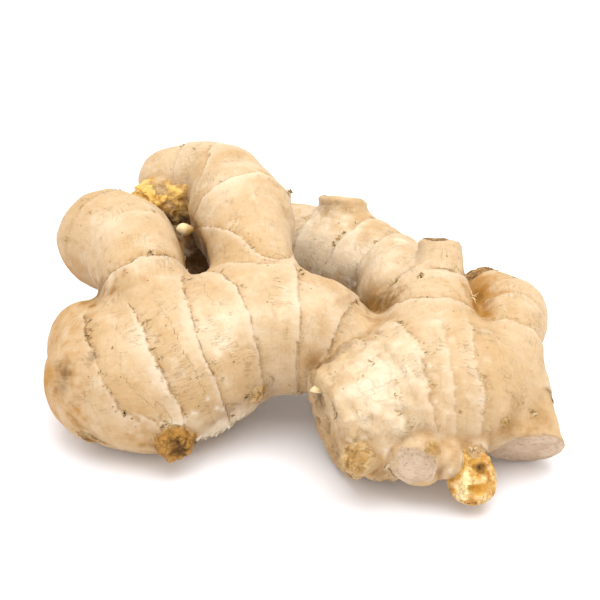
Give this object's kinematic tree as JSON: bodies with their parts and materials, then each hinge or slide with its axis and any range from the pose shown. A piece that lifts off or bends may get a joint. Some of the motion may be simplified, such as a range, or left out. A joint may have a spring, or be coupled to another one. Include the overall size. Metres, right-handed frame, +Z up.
{
  "type": "ginger root",
  "caption": "Whole fresh ginger rhizome: a hand of fat knobbly fingers with growth rings, cut stubs and buds, lying on its underside.",
  "frame": {"origin": "middle of the footprint, at the height of the surface that the rhizome lies on", "axes": "+Z up, +X along the hand from its thick left body to its right body, +Y the way the long fingers grow"},
  "size_m": [0.1456, 0.1378, 0.055],
  "materials": {
    "ginger_skin": "fresh papery skin, pale tan, soft sheen"
  },
  "bodies": {
    "root": {"rhizome": "ginger_skin"}
  },
  "joints": []
}
